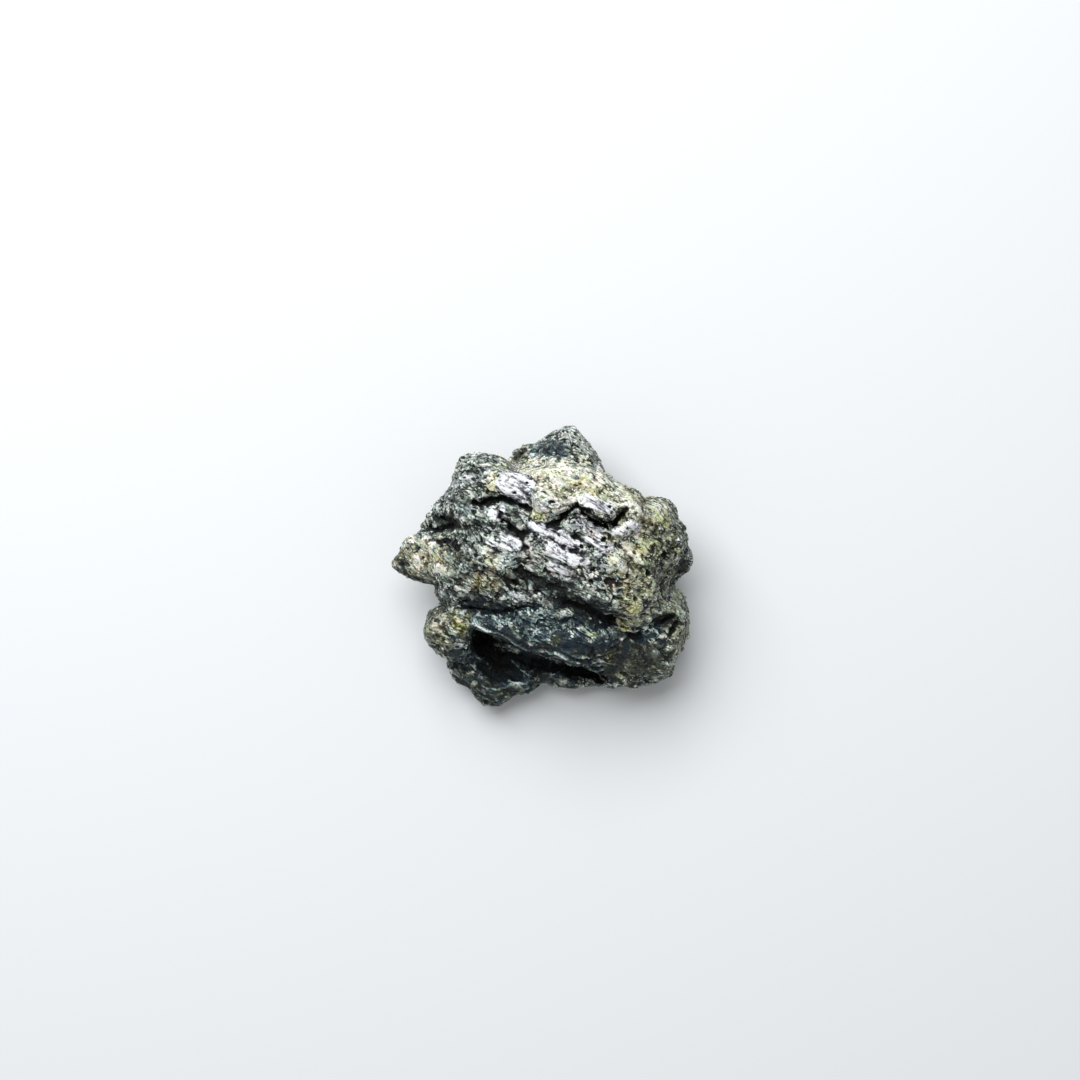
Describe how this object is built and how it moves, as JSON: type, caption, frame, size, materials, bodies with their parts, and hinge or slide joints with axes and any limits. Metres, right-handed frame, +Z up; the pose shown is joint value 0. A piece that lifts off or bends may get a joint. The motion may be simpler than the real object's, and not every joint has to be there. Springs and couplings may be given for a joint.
{
  "type": "rough epidote",
  "caption": "Lumpy rough epidote stone of grown-together crystals, with flat laths on top, a dark hollow under a front ledge and a flat foot to rest on.",
  "frame": {"origin": "on the surface that the stone rests on, under the middle of its bounding box", "axes": "+Z up, +X along the longest extent, to the right in the picture, +Y towards the pointed lump, up in the picture"},
  "size_m": [0.0334, 0.0314, 0.0188],
  "materials": {
    "epidote": "satin"
  },
  "bodies": {
    "root": {"epidote_stone": "epidote"}
  },
  "joints": []
}
